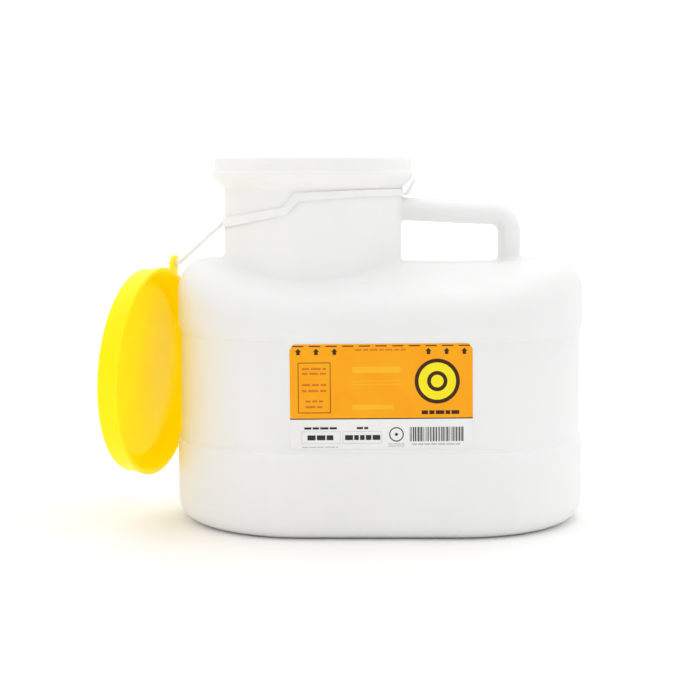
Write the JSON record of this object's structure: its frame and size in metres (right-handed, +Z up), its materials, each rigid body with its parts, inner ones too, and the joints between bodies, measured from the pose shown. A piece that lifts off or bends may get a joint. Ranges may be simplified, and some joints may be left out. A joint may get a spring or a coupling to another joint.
{
  "type": "sharps container",
  "caption": "Wide-mouth plastic waste jug of oblong plan with a moulded loop handle, a front label and a round snap lid on a tether.",
  "frame": {"origin": "centre of the base, on the plane the jug stands on", "axes": "+Z up out of the mouth, +X towards the handle, -Y towards the labelled front"},
  "size_m": [0.3669, 0.2, 0.2795],
  "materials": {
    "jug_hdpe": "natural white blow-moulded polyethylene, slightly waxy",
    "lid_yellow": "bright yellow injection-moulded polypropylene, satin",
    "tether_natural": "uncoloured translucent polyethylene",
    "label_film": "printed self-adhesive film, orange panel over white"
  },
  "bodies": {
    "container": {"container_body": "jug_hdpe", "front_label": "label_film"},
    "tether_band": {"tether_loop": "tether_natural"},
    "strap": {"tether_strap": "tether_natural"},
    "button": {"tether_button": "tether_natural"},
    "lid": {"lid": "lid_yellow"}
  },
  "joints": [
    {"name": "tether_turn", "type": "hinge", "parent": "container", "child": "tether_band", "pos_m": [-0.0523, 0, 0.2405], "axis": [0, 0, 1], "range_deg": [-35, 35]},
    {"name": "strap_lift", "type": "hinge", "parent": "tether_band", "child": "strap", "pos_m": [-0.12356, 0.00835, 0.2283], "axis": [0.1164, 0.9932, 0], "range_deg": [0, 85]},
    {"name": "lid_swing", "type": "hinge", "parent": "strap", "child": "button", "pos_m": [-0.15814, 0.01241, 0.19698], "axis": [0.2807, 0.9598, 0], "range_deg": [0, 40]},
    {"name": "lid_spin", "type": "hinge", "parent": "button", "child": "lid", "pos_m": [-0.16083, 0.01319, 0.19709], "axis": [-0.9591, 0.2805, 0.0384], "range_deg": [0, 45]}
  ]
}
